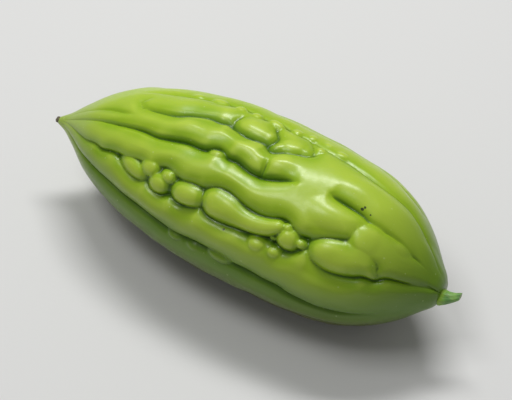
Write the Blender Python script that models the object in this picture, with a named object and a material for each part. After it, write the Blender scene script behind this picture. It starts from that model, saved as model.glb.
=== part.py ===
"""A whole bitter gourd lying on its side: a warty, ribbed fruit, its cut stalk and its dry blossom scar.

The fruit is a spindle that lies along X, with its nose towards -X and its stalk towards +X. A place on
its skin is given by s, the distance from the nose in millimetres, and by a heading in degrees about the
spindle's own line: 0 is the top, 90 faces -Y, 180 lies on the ground and 270 faces +Y. Its ribs, furrows
and warts are relief, in millimetres below or above a smooth girth. The finished gourd stands on z = 0,
centred over the origin.
"""
import random

import bmesh
import bpy
import numpy as np

MM = 0.001
# The share of a piece's length between a flat end's pole and the ring around it
HAIR = 1e-5

# The spindle, in millimetres: the radius over the rib tops along the fruit, and the bow of its middle line
LENGTH = 184.8
GIRTH = ((0, 1.7), (4, 4.1), (10, 9.3), (20, 17.8), (32, 24.8), (46, 29.9), (63, 34.2), (84, 36.9),
         (106, 37.1), (128, 36.2), (146, 33.4), (160, 27.6), (172, 18.8), (180, 10.7), (183.4, 7.2),
         (LENGTH, 4.9))
FULL_RADIUS = 37.0
BOW = ((0, -0.6), (4, 0.2), (10, 1.3), (20, 2.2), (35, 2.9), (55, 3.1), (80, 3.0), (130, 1.6), (170, 0.2),
       (LENGTH, -1.3))
BOW_BACK = 0.8
BOW_UP = 0.6

# How a furrow is cut: the reach of its rounded shoulders at the widest girth, and of the sharp crease
# at its bottom
SHOULDER = 9.4
CREASE = 2.6
CREASE_SHARE = 0.36
REACH_ANGLE = np.degrees(SHOULDER / FULL_RADIUS) + 1

# Furrows of the side that faces -Y and of the top, each by hand: distance from the nose, heading, depth
FURROWS = (
    # under the second rib
    ((4, 34, 1.8), (12, 29, 2.6), (22, 26, 3.0), (34, 24.6, 3.5), (46, 22.8, 4.0), (54, 23.6, 4.3),
     (60, 21.8, 4.6), (68, 19.4, 4.8), (76, 19.2, 4.9), (82, 15.4, 4.9), (87.5, 18.2, 5.0), (91, 17.6, 5.1),
     (97.5, 20.3, 5.2), (104, 20, 5.0), (110, 16.8, 4.4), (114, 14.4, 3.3), (119.5, 12.5, 0.4)),
    # over the second rib
    ((6, 8, 0.8), (18, 9.5, 1.4), (26, 9.2, 2.2), (33, 10.8, 2.3), (38.5, 11.5, 0.5)),
    ((40, 0.5, 1.6), (46, 1.4, 3.1), (56, 0.8, 3.5), (62.5, -3.5, 3.7), (71, -6.8, 3.8),
     (75.5, -6.4, 3.8), (79.5, -7.8, 4.0), (84.5, -5, 4.1), (90, -3.2, 4.1), (97.5, -4.6, 4.1),
     (101.5, -0.5, 3.6), (106.5, -4.5, 3.0), (111.5, -7.5, 2.8), (115.5, -9.8, 2.6), (118, -14, 2.0),
     (121, -19.5, 0.8)),
    # across the first and second ribs, which split them into lobes
    ((82, -6.2, 3.4), (80.5, -12, 2.8), (82, -18, 1.8)),
    ((99, -4.5, 3.8), (100.7, -12.5, 3.5), (98.5, -18, 2.8), (96.5, -24, 2.0)),
    ((117, -13.5, 2.3), (115.5, -19, 1.9), (112.5, -25.5, 1.5)),
    ((41, 1.5, 2.0), (38.5, -5, 1.8), (40.5, -11, 0.9)),
    ((103, 19.8, 3.9), (103.3, 14.5, 3.0), (103, 8, 1.1), (102, 2, 1.6)),
    # behind the first rib
    ((36, -20, 0.4), (50, -23, 1.2), (70, -26, 1.5), (81.5, -28.5, 1.8), (89, -24.8, 1.9), (97, -28, 1.9),
     (105.5, -25.5, 1.8), (113, -26, 1.7), (120.5, -23.8, 1.8), (131, -24, 2.0), (137, -22.5, 2.1),
     (147.5, -22, 2.1), (155, -24.5, 2.1), (162, -27.5, 2.1), (170.5, -25, 2.0), (177, -19, 1.7),
     (182, -12, 0.4)),
    # in the smooth shoulder near the stalk
    ((132, 9, 0.4), (134.5, 9.6, 2.6), (138, 9.6, 3.9), (143, 10, 4.0), (148, 10.7, 3.6), (152, 13, 3.2),
     (156.5, 12.6, 2.7), (164, 11, 2.3), (169.5, 13.3, 3.2), (173, 12.3, 2.8), (177, 13, 0.7)),
    # from the nose to the row of warts
    ((2, 46, 1.8), (12, 54.5, 3.2), (20, 56.5, 3.8), (26, 53.5, 4.1), (31, 55, 4.4), (36.5, 51.8, 4.7),
     (42, 52, 4.9)),
    # over and under the great lobes beside the stalk
    ((131.5, 46.5, 4.6), (135, 43.5, 4.5), (138.5, 40.3, 4.4), (144, 36, 4.0), (148, 32.2, 3.2),
     (149.3, 25, 2.5), (151.5, 18, 2.0), (153, 14, 1.4)),
    ((131.5, 46.5, 4.8), (133.5, 48.5, 5.0), (136.5, 53.8, 5.1), (139, 57, 5.1), (144, 61, 5.1),
     (149, 61.3, 5.2), (154, 60, 5.3), (157.5, 57.5, 5.4), (162, 57.8, 5.5), (165.5, 52, 5.6),
     (169.5, 50.5, 5.8), (173.5, 48.8, 6.2), (178, 43.5, 7.0), (181.5, 39, 8.0), (LENGTH, 39, 9.0)),
    # between the great lobes
    ((163, 55, 3.8), (162, 49, 3.2), (161, 42, 2.4), (158.5, 38, 0.8)),
    # under the fourth rib
    ((3, 73, 1.7), (11, 79.5, 3.0), (20, 81.5, 3.9), (36, 82.5, 4.5), (46.5, 85.5, 4.8), (58.5, 86, 5.0),
     (70, 89, 4.9), (80, 88, 4.9), (92, 87, 4.9), (103.5, 89.5, 4.9), (116, 90.7, 4.9), (124.5, 92.3, 4.8),
     (129, 95, 4.8), (137.5, 97.3, 4.4), (148, 100, 3.8), (157.5, 99, 2.6), (166, 97, 0.6)),
)

# The valley that holds the row of warts: its two edges, and how far its floor lies below the girth
VALLEY_UPPER = ((40, 51.5), (43.5, 51), (47.5, 49.5), (52.5, 48.5), (55.5, 52.5), (57.5, 53.5), (59.5, 51),
                (61.5, 46), (65, 44), (68.5, 46), (74, 47), (78.5, 46), (83, 45.5), (86.5, 43), (89.5, 41),
                (93.5, 40.5), (99, 42.5), (104, 44.7), (110, 45.5), (115.5, 43.7), (118.5, 41.3),
                (121.5, 40.8), (124, 43.3), (128, 46.2), (132, 46))
VALLEY_LOWER = ((40, 52), (45, 56.5), (52, 61), (57, 58), (61, 61.5), (66, 62.5), (70, 60), (75, 62.5),
                (81.5, 59), (84.5, 56.5), (89, 60.5), (97, 60.5), (102.5, 59.5), (108, 59.7), (114, 58.3),
                (117.5, 56.8), (120, 58.7), (124, 59.7), (128, 57.3), (131.5, 51), (132.5, 47))
VALLEY_DEPTH = 5.0

# Warts, by hand: distance from the nose, heading, half length, half width, turn in degrees, and how far
# the top lies below the girth
WARTS = (
    # in the valley
    (49.8, 54.2, 8.2, 4.7, 9, 0.5), (63, 55.2, 5.6, 5.3, 0, 0.3), (66.4, 47.6, 4.3, 3.8, -8, 0.6),
    (77.4, 53.2, 8.5, 5.8, -8, 0.1), (118.2, 54.6, 1.9, 1.7, 0, 2.2), (124.5, 50.4, 5.4, 5.6, 0, 0.2),
    (122.9, 43.8, 2.9, 2.8, 0, 1.0), (130.2, 50, 3.0, 2.8, 0, 1.0),
    # hanging from the third rib
    (57, 46.8, 5.4, 5.2, 0, 0.2),
    # in the furrow over the second rib, and on the top beside it
    (82, 19.4, 4.4, 2.8, -6, 0.9), (90.3, -13.8, 10.0, 6.2, 0, 0.0), (108.3, -13.5, 8.0, 5.5, -30, 0.0),
    (118.4, -20.5, 3.3, 3.0, 0, 0.2), (126.5, -28.5, 5.4, 3.8, -8, 0.0),
    # under the fourth rib
    (75.5, 91, 4.6, 2.6, 0, 0.9), (84.5, 92, 4.9, 3.2, 0, 0.9), (97.3, 88.5, 6.8, 3.4, 0, 0.6),
    # on top of the fourth rib
    (112.8, 63.6, 5.2, 3.9, 0, 0.1), (120.5, 64, 4.2, 3.3, 0, 0.2),
)
WART_FALL = 3.3
WART_ROUNDNESS = 2.6
WART_SQUARENESS = 2.3

# The longest wart is a club, a round head with a tail: distance from the nose, heading and half width
CLUB = ((90.7, 49.6, 7.4), (95, 50.2, 7.2), (99.5, 51.2, 6.0), (104, 51.6, 5.1), (109, 51.2, 4.8),
        (113.5, 49.6, 4.5), (117, 47.2, 3.9), (119, 45.4, 3.3))
CLUB_DROP = 0.1

# The great lobes beside the stalk, as warts are given, and how softly they blend into one another
LOBES = ((145.4, 48.0, 11.8, 7.6, -9, -0.4), (154.6, 27.0, 8.2, 8.5, 0, -0.6),
         (169.5, 32, 10.5, 5.2, -12, -0.1), (166.3, 18.5, 5.6, 4.2, 0, 0.0))
LOBE_BLEND = 0.8

# Where the skin is plump, by hand: distance from the nose, heading, half length, half width, turn, rise
PLUMP = (
    # at the end of the third rib, on the smooth shoulder and at the blunt end over the stalk
    (138, 23, 13.0, 7.5, 0, 1.3), (150, -4, 22.0, 9.0, 0, 1.1), (177.5, -8, 7.5, 7.5, 0, 1.9),
    # along the fourth rib
    (60, 70, 22.0, 6.5, 0, 0.8), (100, 68, 20.0, 6.5, 0, 0.9), (140, 77, 20.0, 7.0, 4, 0.9),
    # on the second rib
    (66, 10, 8.0, 5.5, 0, 0.6), (94, 8.5, 8.5, 6.5, 0, 0.6), (109, 7, 7.0, 6.5, 0, 0.6),
)

# The side that the ground and +Y see follows a rule: the heading and depth of each plain furrow, and the
# heading, half width and depth of each valley of warts, and how far they wander
PLAIN_FURROWS = ((124, 3.5), (180, 3.0), (246, 3.8), (309, 3.5))
PLAIN_SWAY = 1.9
WART_ROWS = ((151, 5.5, 3.8), (213, 8.0, 4.3), (277, 8.5, 4.3))
WART_ROW_SWAY = 2.2
WART_ROW_FILL = 0.86
WART_ROW_STEP = 5.6
WART_ROW_DROP = 0.8
ROW_START = 22
ROW_END = 164
HIDDEN_SEED = 11

# The top row: its heading and the stations that its line runs through, and the half width, half length
# and drop of its small warts. They stand a little over the girth.
TOP_ROW_HEADING = -28.0
TOP_ROW_STATIONS = range(24, 150, 7)
TOP_ROW_SWAY = 2
TOP_ROW_WAVE = 11
TOP_ROW_HALF_WIDTH = 3.8
TOP_ROW_STEP = 4.3
TOP_ROW_DROP = -0.12

# A line's stations and the length and share of each wave by which it wanders
STATION_STEP = 7.1
WANDER_WAVES = ((9, 1.0), (4.3, 0.6))

# How far the warts of a row keep from its ends, and how uneven they are: in length, width, heading, turn
# and drop, with a little overlap
ROW_MARGINS = (18, 20)
LENGTH_SPREAD = (0.75, 1.45)
WIDTH_SPREAD = (0.8, 1.05)
HEADING_SPREAD = 1.5
TURN_SPREAD = 14
DROP_SPREAD = (0.7, 1.3)
OVERLAP = 1.05

# Short creases that run from those plain furrows into the ribs: the way from one to the next, their reach
# in degrees and how uneven they are, and how deep they are at the furrow, halfway and at the end
PINCH_STEP = 15
PINCH_REACH = 11
PINCH_SHARE = 0.6
PINCH_MARGINS = (12, 18)
STEP_SPREAD = (0.7, 1.3)
REACH_SPREAD = (0.6, 1.1)
LEAN_SPREAD = 2.5
MIDDLE_SHARE = 0.6
END_SHARE = 0.15

# How a plain furrow fades out: the margin beyond its ends, and how blunt the fading is
FADE_MARGIN = 6
FADE_POWER = 0.6

# Slow swells of the whole skin
SWELLS = 12
SWELL_HEIGHT = 0.035

# The skin is modelled finely and then thinned, which keeps its triangles along the creases
FINE_COLUMNS = 400
FINE_RINGS = 280
KEPT_TRIANGLES = 9400

# How deep the ground presses the two lowest ribs flat, and how near to it the thinned skin counts as flat
PRESSED = 0.6
FLAT_WITHIN = 0.06

# The stalk: radius along it, how far it bends up and back, how far its root lies to -Y and below the
# middle, and its ridges
PART_GAP = 0.3
STALK_LENGTH = 7.4
STALK_RADIUS = ((0, 3.7), (1.0, 3.3), (2.8, 2.75), (4.6, 2.25), (STALK_LENGTH - 0.6, 1.75),
                (STALK_LENGTH, 1.5))
STALK_RISE = 3.0
STALK_BACK = 2.0
STALK_ASIDE = 1.2
STALK_DROP = 1.0
STALK_RIDGES = 5
STALK_RIDGE_HEIGHT = 0.14
STALK_COLUMNS = 30
STALK_RINGS = 16

# The dry scar of the blossom on the nose
SCAR_LENGTH = 1.5
SCAR_RADIUS = ((0, 1.35), (0.4, 1.45), (0.9, 1.3), (SCAR_LENGTH - 0.25, 1.1), (SCAR_LENGTH, 0.8))
SCAR_LOBES = 4
SCAR_LOBE_HEIGHT = 0.16
SCAR_DROOP = 0.35
SCAR_COLUMNS = 16
SCAR_RINGS = 8


def clear_scene():
    """Removes every object that the new file starts with."""
    for item in list(bpy.data.objects):
        bpy.data.objects.remove(item, do_unlink=True)


def curve(points, x):
    """A smooth curve through the points (x, y), read at x."""
    at, value = np.array(points, float).T
    slope = np.gradient(value, at)
    i = np.clip(np.searchsorted(at, x, side="right") - 1, 0, len(at) - 2)
    span = at[i + 1] - at[i]
    t = np.clip((x - at[i]) / span, 0, 1)
    start = (2 * t**3 - 3 * t**2 + 1) * value[i] + (t**3 - 2 * t**2 + t) * span * slope[i]
    end = (3 * t**2 - 2 * t**3) * value[i + 1] + (t**3 - t**2) * span * slope[i + 1]
    return start + end


def smooth_line(points, steps=4):
    """A finer line through hand-set points, with each of their numbers smoothed along it."""
    places = np.arange(len(points))
    fine = np.linspace(0, len(points) - 1, steps * (len(points) - 1) + 1)
    columns = [curve(np.column_stack([places, column]), fine) for column in np.array(points, float).T]
    return np.column_stack(columns)


def turn_between(heading, other):
    """The signed angle in radians from one heading to another, by the short way round."""
    return np.radians((heading - other + 180) % 360 - 180)


def near_line(s, heading, line):
    """Which places are within a furrow's reach of its line."""
    middle = (line[:, 1].min() + line[:, 1].max()) / 2
    half = (line[:, 1].max() - line[:, 1].min()) / 2 + REACH_ANGLE
    beside = np.abs(turn_between(heading, middle)) < np.radians(half)
    return beside & (s > line[:, 0].min() - SHOULDER) & (s < line[:, 0].max() + SHOULDER)


def furrow(s, heading, radius, points):
    """How deep one furrow cuts at each place, in millimetres."""
    line = smooth_line(points)
    cut = np.zeros(s.shape)
    near = near_line(s, heading, line)
    s, heading, radius = s[near], heading[near], radius[near]
    slimness = radius / FULL_RADIUS
    nearest = np.full(s.shape, 1e3)
    depth = np.zeros(s.shape)
    for start, end in zip(line[:-1], line[1:]):
        along = s - start[0]
        across = turn_between(heading, start[1]) * radius
        run = end[0] - start[0]
        rise = np.radians(end[1] - start[1]) * radius
        t = np.clip((along * run + across * rise) / (run**2 + rise**2), 0, 1)
        distance = np.hypot(along - t * run, across - t * rise)
        closer = distance < nearest
        nearest = np.where(closer, distance, nearest)
        depth = np.where(closer, start[2] + t * (end[2] - start[2]), depth)
    shoulder = np.clip(1 - nearest / (SHOULDER * slimness), 0, 1) ** 2
    crease = np.clip(1 - nearest / (CREASE * slimness), 0, 1) ** 2
    cut[near] = depth * slimness * ((1 - CREASE_SHARE) * shoulder + CREASE_SHARE * crease)
    return cut


def valley(s, heading, radius, upper, lower, floor):
    """How deep a valley with a level floor cuts: full between its edges, a furrow's slope outside them."""
    middle = (curve(upper, s) + curve(lower, s)) / 2
    half = (curve(lower, s) - curve(upper, s)) / 2
    inside = np.abs(turn_between(heading, middle)) <= np.radians(np.maximum(half, 0))
    inside &= (s > upper[0][0]) & (s < upper[-1][0])
    cut = np.where(inside, floor * radius / FULL_RADIUS, 0)
    for edge in (upper, lower):
        cut = np.maximum(cut, furrow(s, heading, radius, [(at, turn, floor) for at, turn in edge]))
    return cut


def wart(s, heading, radius, place):
    """The height of one wart's rounded top, which falls away on all sides."""
    at, turn, half_length, half_width, twist, drop = place
    along = s - at
    across = turn_between(heading, turn) * radius
    angle = np.radians(twist)
    long_way = np.abs(along * np.cos(angle) + across * np.sin(angle)) / half_length
    short_way = np.abs(across * np.cos(angle) - along * np.sin(angle)) / half_width
    away = (long_way**WART_SQUARENESS + short_way**WART_SQUARENESS) ** (1 / WART_SQUARENESS)
    return -drop - WART_FALL * away**WART_ROUNDNESS


def club(s, heading, radius):
    """The height of the club-shaped wart, which falls away on all sides of its middle line."""
    line = smooth_line(CLUB)
    away = np.full(s.shape, 1e3)
    for start, end in zip(line[:-1], line[1:]):
        along = s - start[0]
        across = turn_between(heading, start[1]) * radius
        run = end[0] - start[0]
        rise = np.radians(end[1] - start[1]) * radius
        t = np.clip((along * run + across * rise) / (run**2 + rise**2), 0, 1)
        width = start[2] + t * (end[2] - start[2])
        away = np.minimum(away, np.hypot(along - t * run, across - t * rise) / width)
    return -CLUB_DROP - WART_FALL * away**WART_ROUNDNESS


def lobes(s, heading, radius):
    """The height of the great lobes, which are domes whose folds are filled in."""
    parts = sum(np.exp(wart(s, heading, radius, place) / LOBE_BLEND) for place in LOBES)
    return LOBE_BLEND * np.log(parts + 1e-30)


def plumpness(s, heading, radius):
    """How far the plump places rise, in millimetres."""
    total = np.zeros(s.shape)
    for at, turn, half_length, half_width, twist, rise in PLUMP:
        along = s - at
        across = turn_between(heading, turn) * radius
        angle = np.radians(twist)
        long_way = (along * np.cos(angle) + across * np.sin(angle)) / half_length
        short_way = (across * np.cos(angle) - along * np.sin(angle)) / half_width
        total += rise * np.clip(1 - long_way**2 - short_way**2, 0, 1) ** 1.5
    return total


def wandering(rng, heading, sway):
    """A heading that wanders along the fruit, as a list of (s, heading)."""
    stations = np.arange(ROW_START, ROW_END + 1, STATION_STEP)
    turn = np.full(len(stations), float(heading))
    for wave, share in WANDER_WAVES:
        turn += sway * share * np.sin(stations / wave + rng.uniform(0, 2 * np.pi))
    return list(zip(stations, turn))


def row_of_warts(rng, middle, half_width, step, drop):
    """Warts of uneven length, one after another along a wandering line."""
    placed = []
    at = middle[0][0] + ROW_MARGINS[0]
    while at < middle[-1][0] - ROW_MARGINS[1]:
        half_length = rng.uniform(*LENGTH_SPREAD) * step
        at += half_length
        width = half_width * rng.uniform(*WIDTH_SPREAD)
        turn = curve(middle, at) + rng.uniform(-HEADING_SPREAD, HEADING_SPREAD)
        twist = rng.uniform(-TURN_SPREAD, TURN_SPREAD)
        placed.append((at, turn, half_length * OVERLAP, width, twist, drop * rng.uniform(*DROP_SPREAD)))
        at += half_length
    return placed


def pinches(rng, line, depth):
    """Short creases that run from a furrow into the ribs on either side of it."""
    made = []
    at = line[0][0] + PINCH_MARGINS[0]
    while at < line[-1][0] - PINCH_MARGINS[1]:
        at += PINCH_STEP * rng.uniform(*STEP_SPREAD)
        turn = curve(line, at)
        reach = rng.choice((-1, 1)) * PINCH_REACH * rng.uniform(*REACH_SPREAD)
        lean = rng.uniform(-LEAN_SPREAD, LEAN_SPREAD)
        middle = (at + lean, turn + reach / 2, MIDDLE_SHARE * depth)
        made.append(((at, turn, depth), middle, (at, turn + reach, END_SHARE * depth)))
    return made


def tapered(line, depth):
    """A furrow along a line of (s, heading) that fades out at both ends."""
    start = line[0][0] - FADE_MARGIN
    span = line[-1][0] + FADE_MARGIN - start
    share = [np.sin(np.pi * (at - start) / span) ** FADE_POWER for at, _ in line]
    return [(at, turn, depth * part) for (at, turn), part in zip(line, share)]


def lay_out():
    """Every furrow, valley and wart of the skin, those set by hand and those set by rule."""
    rng = random.Random(HIDDEN_SEED)
    furrows = list(FURROWS)
    valleys = [(VALLEY_UPPER, VALLEY_LOWER, VALLEY_DEPTH)]
    warts = list(WARTS)
    for heading, depth in PLAIN_FURROWS:
        line = wandering(rng, heading, PLAIN_SWAY)
        furrows.append(tapered(line, depth))
        furrows += pinches(rng, line, PINCH_SHARE * depth)
    for heading, half, depth in WART_ROWS:
        middle = wandering(rng, heading, WART_ROW_SWAY)
        half_mm = np.radians(half) * FULL_RADIUS
        bulge = [half * np.sin(np.pi * (at - ROW_START) / (ROW_END - ROW_START)) for at, _ in middle]
        upper = [(at, turn - part) for (at, turn), part in zip(middle, bulge)]
        lower = [(at, turn + part) for (at, turn), part in zip(middle, bulge)]
        valleys.append((upper, lower, depth))
        warts += row_of_warts(rng, middle, half_mm * WART_ROW_FILL, WART_ROW_STEP, WART_ROW_DROP)
    sway = [(at, TOP_ROW_SWAY * np.sin(at / TOP_ROW_WAVE)) for at in TOP_ROW_STATIONS]
    top_row = [(at, TOP_ROW_HEADING + turn) for at, turn in sway]
    warts += row_of_warts(rng, top_row, TOP_ROW_HALF_WIDTH, TOP_ROW_STEP, TOP_ROW_DROP)
    return furrows, valleys, warts


def swell(s, heading):
    """Slow, low swells, the same on every run."""
    rng = random.Random(HIDDEN_SEED + 1)
    total = np.zeros(s.shape)
    for _ in range(SWELLS):
        wave = rng.uniform(13, 34)
        turns = rng.randint(4, 15)
        total += np.sin(2 * np.pi * s / wave + turns * np.radians(heading) + rng.uniform(0, 2 * np.pi))
    return total * SWELL_HEIGHT


def relief(s, heading):
    """The height of the skin over the smooth girth, mostly below it."""
    radius = curve(GIRTH, s)
    slimness = radius / FULL_RADIUS
    furrows, valleys, warts = lay_out()
    cubes = np.zeros(s.shape)
    for points in furrows:
        cubes += furrow(s, heading, radius, points) ** 3
    for upper, lower, floor in valleys:
        cubes += valley(s, heading, radius, upper, lower, floor) ** 3
    height = -np.cbrt(cubes)
    for place in warts:
        height = np.maximum(height, wart(s, heading, radius, place) * slimness)
    for piece in (club, lobes):
        height = np.maximum(height, piece(s, heading, radius) * slimness)
    return height + (swell(s, heading) + plumpness(s, heading, radius)) * slimness


def fruit_place(along, heading):
    """Where the fruit's skin is, from the share of its length and the heading. The underside isn't bowed."""
    s = along * LENGTH
    radius = np.maximum(curve(GIRTH, s) + relief(s, heading), 0)
    bow = curve(BOW, s)
    turn = np.radians(heading)
    radius = radius + bow * BOW_UP * np.clip(-np.cos(turn), 0, 1) ** 2
    radius = np.where((along == 0) | (along == 1), 0, radius)
    return s, bow * BOW_BACK - radius * np.sin(turn), bow * BOW_UP + radius * np.cos(turn)


def stalk_place(along, heading):
    """Where the stalk's skin is: a fluted taper that bends up and back from the fruit's end."""
    reach = along * STALK_LENGTH
    turn = np.radians(heading)
    radius = curve(STALK_RADIUS, reach) + STALK_RIDGE_HEIGHT * np.cos(STALK_RIDGES * turn)
    radius = np.where((along == 0) | (along == 1), 0, radius)
    bow = curve(BOW, LENGTH)
    middle_y = bow * BOW_BACK - STALK_ASIDE + STALK_BACK * along**1.6
    middle_z = bow * BOW_UP - STALK_DROP + STALK_RISE * along**1.6
    s = LENGTH + PART_GAP + reach
    return s, middle_y - radius * np.sin(turn), middle_z + radius * np.cos(turn)


def scar_place(along, heading):
    """Where the scar's skin is: a small ragged nub that points away from the nose."""
    reach = (1 - along) * SCAR_LENGTH
    turn = np.radians(heading)
    lobes = SCAR_LOBE_HEIGHT * np.cos(SCAR_LOBES * turn + 2 * reach)
    radius = curve(SCAR_RADIUS, reach) + lobes * reach / SCAR_LENGTH
    radius = np.where((along == 0) | (along == 1), 0, radius)
    droop = SCAR_DROOP * (reach / SCAR_LENGTH) ** 2
    bow = curve(BOW, 0)
    middle_z = bow * BOW_UP - droop
    return -PART_GAP - reach, bow * BOW_BACK - radius * np.sin(turn), middle_z + radius * np.cos(turn)


def skin_mesh(name, columns, rings, place):
    """A closed skin: a ball whose poles become the two ends and whose rings are moved to place."""
    bm = bmesh.new()
    bmesh.ops.create_uvsphere(bm, u_segments=columns, v_segments=rings, radius=1)
    mesh = bpy.data.meshes.new(name)
    bm.to_mesh(mesh)
    bm.free()
    ball = np.empty(len(mesh.vertices) * 3)
    mesh.vertices.foreach_get("co", ball)
    x, y, z = ball.reshape(-1, 3).T
    ring = np.round(rings * (1 - np.arccos(np.clip(z, -1, 1)) / np.pi)).astype(int)
    heading = np.degrees(np.arctan2(y, x))
    placed = place(np.array(ring_shares(rings))[ring], heading)
    mesh.vertices.foreach_set("co", np.column_stack(placed).ravel() * MM)
    mesh.update()
    return mesh


def ring_shares(rings):
    """How far along a piece each ring is. The first and the last lie beside their pole: flat ends."""
    return [0] + [HAIR + (1 - 2 * HAIR) * i / (rings - 2) for i in range(rings - 1)] + [1]


def material(name, colour, roughness):
    """A plain finish: colour as linear red, green and blue."""
    finish = bpy.data.materials.new(name)
    finish.use_nodes = True
    shader = finish.node_tree.nodes["Principled BSDF"]
    shader.inputs["Base Color"].default_value = (*colour, 1)
    shader.inputs["Roughness"].default_value = roughness
    shader.inputs["Metallic"].default_value = 0
    return finish


def add_object(name, mesh, finish):
    """Puts a mesh in the scene as a named object, shaded smooth but for its sharp rims."""
    mesh.shade_smooth()
    mesh.set_sharp_from_angle(angle=np.radians(50))
    mesh.materials.append(finish)
    item = bpy.data.objects.new(name, mesh)
    bpy.context.scene.collection.objects.link(item)
    return item


def thinned(mesh, triangles):
    """A copy of a mesh with about so many triangles, thinned where it is smooth."""
    item = bpy.data.objects.new("fine_skin", mesh)
    bpy.context.scene.collection.objects.link(item)
    facets = item.modifiers.new("facets", "TRIANGULATE")
    facets.min_vertices = 4
    thin = item.modifiers.new("thin", "DECIMATE")
    thin.ratio = triangles / sum(len(face.vertices) - 2 for face in mesh.polygons)
    seen = item.evaluated_get(bpy.context.evaluated_depsgraph_get())
    kept = bpy.data.meshes.new_from_object(seen)
    bpy.data.objects.remove(item, do_unlink=True)
    return kept


def corners(mesh):
    """A mesh's vertices as rows of x, y, z."""
    flat = np.empty(len(mesh.vertices) * 3)
    mesh.vertices.foreach_get("co", flat)
    return flat.reshape(-1, 3)


def press_flat(mesh, depth, within):
    """Levels the lowest ribs, so that the fruit lies on small flat spots, and returns their height."""
    places = corners(mesh)
    level = places[:, 2].min() + depth * MM
    places[:, 2] = np.where(places[:, 2] < level + within * MM, level, places[:, 2])
    mesh.vertices.foreach_set("co", places.ravel())
    mesh.update()
    return level


def settle(meshes, level):
    """Moves every piece so that the gourd stands on z = 0, centred over the origin."""
    everything = np.vstack([corners(mesh) for mesh in meshes])
    middle = (everything.min(axis=0) + everything.max(axis=0)) / 2
    middle[2] = level
    for mesh in meshes:
        mesh.vertices.foreach_set("co", (corners(mesh) - middle).ravel())
        mesh.update()


def main():
    """Builds the gourd."""
    clear_scene()
    fine = skin_mesh("fine_fruit", FINE_COLUMNS, FINE_RINGS, fruit_place)
    press_flat(fine, PRESSED, 0)
    fruit = thinned(fine, KEPT_TRIANGLES)
    stalk = skin_mesh("stalk", STALK_COLUMNS, STALK_RINGS, stalk_place)
    scar = skin_mesh("blossom_scar", SCAR_COLUMNS, SCAR_RINGS, scar_place)
    level = press_flat(fruit, 0, FLAT_WITHIN)
    settle((fruit, stalk, scar), level)
    add_object("fruit", fruit, material("fruit_skin", (0.33, 0.52, 0.08), 0.32))
    add_object("stalk", stalk, material("stalk_skin", (0.10, 0.24, 0.06), 0.55))
    add_object("blossom_scar", scar, material("dry_scar", (0.08, 0.07, 0.05), 0.85))


main()
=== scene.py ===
# %% [markdown]
# # A whole bitter gourd
# This lesson dresses a bitter gourd that lies on its side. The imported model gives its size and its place.
# The fruit, its cut stalk and the dry scar of its blossom are modelled again here with a much finer skin,
# from the same few values, and then each gets its finish, a floor, soft light and a camera.

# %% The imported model
import random

import bmesh
import bpy
import numpy as np
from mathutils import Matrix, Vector


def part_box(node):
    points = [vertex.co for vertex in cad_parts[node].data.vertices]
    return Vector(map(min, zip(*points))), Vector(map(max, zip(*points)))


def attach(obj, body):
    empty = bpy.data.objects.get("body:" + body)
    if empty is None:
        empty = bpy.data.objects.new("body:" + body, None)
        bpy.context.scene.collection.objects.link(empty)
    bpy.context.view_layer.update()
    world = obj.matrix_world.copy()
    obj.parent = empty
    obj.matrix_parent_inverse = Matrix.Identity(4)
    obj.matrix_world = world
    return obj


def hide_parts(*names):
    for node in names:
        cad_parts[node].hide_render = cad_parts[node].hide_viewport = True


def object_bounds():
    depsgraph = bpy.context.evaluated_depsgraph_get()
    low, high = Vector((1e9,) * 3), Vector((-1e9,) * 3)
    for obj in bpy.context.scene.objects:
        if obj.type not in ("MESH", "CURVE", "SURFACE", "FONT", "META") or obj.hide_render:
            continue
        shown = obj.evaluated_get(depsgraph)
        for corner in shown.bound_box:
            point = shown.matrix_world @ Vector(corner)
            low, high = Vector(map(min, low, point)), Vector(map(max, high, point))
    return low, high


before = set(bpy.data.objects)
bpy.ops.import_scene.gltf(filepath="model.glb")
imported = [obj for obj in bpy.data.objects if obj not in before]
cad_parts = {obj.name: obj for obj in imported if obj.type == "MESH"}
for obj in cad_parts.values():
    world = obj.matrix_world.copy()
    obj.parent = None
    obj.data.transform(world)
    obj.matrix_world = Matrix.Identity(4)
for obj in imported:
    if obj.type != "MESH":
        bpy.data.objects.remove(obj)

CAD_BOX = [list(corner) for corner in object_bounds()]
MM = 0.001
print("nodes", sorted(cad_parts), "box", CAD_BOX)

# %% [markdown]
# ## Reading a smooth curve
# Every line on the gourd, such as the swelling of its girth or the path of a furrow, is a few points with a
# smooth curve through them. The curve gets its slopes from the neighbouring points, so it never needs more
# points than the shape has turns.

# %% Smooth curves and headings
def curve(points, x):
    """A smooth curve through the points (x, y), read at x."""
    at, value = np.array(points, float).T
    slope = np.gradient(value, at)
    i = np.clip(np.searchsorted(at, x, side="right") - 1, 0, len(at) - 2)
    span = at[i + 1] - at[i]
    t = np.clip((x - at[i]) / span, 0, 1)
    start = (2 * t**3 - 3 * t**2 + 1) * value[i] + (t**3 - 2 * t**2 + t) * span * slope[i]
    end = (3 * t**2 - 2 * t**3) * value[i + 1] + (t**3 - t**2) * span * slope[i + 1]
    return start + end


def smooth_line(points, steps=4):
    """A finer line through given points, with each of their numbers smoothed along it."""
    places = np.arange(len(points))
    fine = np.linspace(0, len(points) - 1, steps * (len(points) - 1) + 1)
    columns = [curve(np.column_stack([places, column]), fine) for column in np.array(points, float).T]
    return np.column_stack(columns)


def turn_between(heading, other):
    """The signed angle in radians from one heading to another, by the short way round."""
    return np.radians((heading - other + 180) % 360 - 180)


# %% [markdown]
# ## The spindle
# Under its ribs the fruit is a spindle along X, thickest a little past its middle, with a slight bow. A
# place on its skin is a distance from the nose in millimetres and a heading in degrees: 0 is the top, 90
# faces -Y and 180 lies on the ground.

# %% Girth and bow
LENGTH = 184.8
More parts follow.
